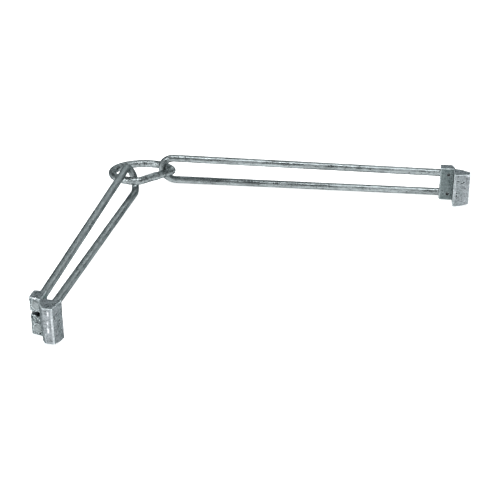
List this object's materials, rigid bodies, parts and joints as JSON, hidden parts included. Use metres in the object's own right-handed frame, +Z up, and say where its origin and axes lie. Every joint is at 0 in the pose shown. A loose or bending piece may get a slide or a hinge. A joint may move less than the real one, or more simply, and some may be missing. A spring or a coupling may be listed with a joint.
{
  "type": "ladder stabilizer",
  "caption": "Ladder stabilizer: two long steel loops linked by a loose D-shaped ring, each with a pinned cast shoe whose flange catches a ladder rail.",
  "frame": {"origin": "centre of the D-shaped ring's round part", "axes": "+Z up from the floor the object lies on, +X along the right arm from the ring to its shoe, -Y roughly along the left arm"},
  "size_m": [0.5872, 0.5826, 0.0544],
  "materials": {
    "ring_steel": "hot-dip galvanised, mottled",
    "rod_steel": "hot-dip galvanised, streaky",
    "shoe_casting": "rough casting, zinc coated",
    "pin_steel": "dark spring steel",
    "weld_steel": "weld bead, zinc coated"
  },
  "bodies": {
    "ring": {"d_ring": "ring_steel", "ring_weld": "weld_steel"},
    "right_arm": {"right_arm_rod": "rod_steel", "right_shoe": "shoe_casting", "right_upper_pin": "pin_steel", "right_lower_pin": "pin_steel"},
    "left_arm": {"left_arm_rod": "rod_steel", "left_shoe": "shoe_casting", "left_upper_pin": "pin_steel", "left_lower_pin": "pin_steel"}
  },
  "joints": [
    {"name": "right_arm_swing", "type": "hinge", "parent": "ring", "child": "right_arm", "pos_m": [0.02989, 0.01556, 0.0026], "axis": [0, 0, 1], "range_deg": [-42.5, 46]},
    {"name": "left_arm_swing", "type": "hinge", "parent": "ring", "child": "left_arm", "pos_m": [-0.00945, -0.02487, 0.0026], "axis": [0, 0, 1], "range_deg": [-42.5, 46]}
  ]
}
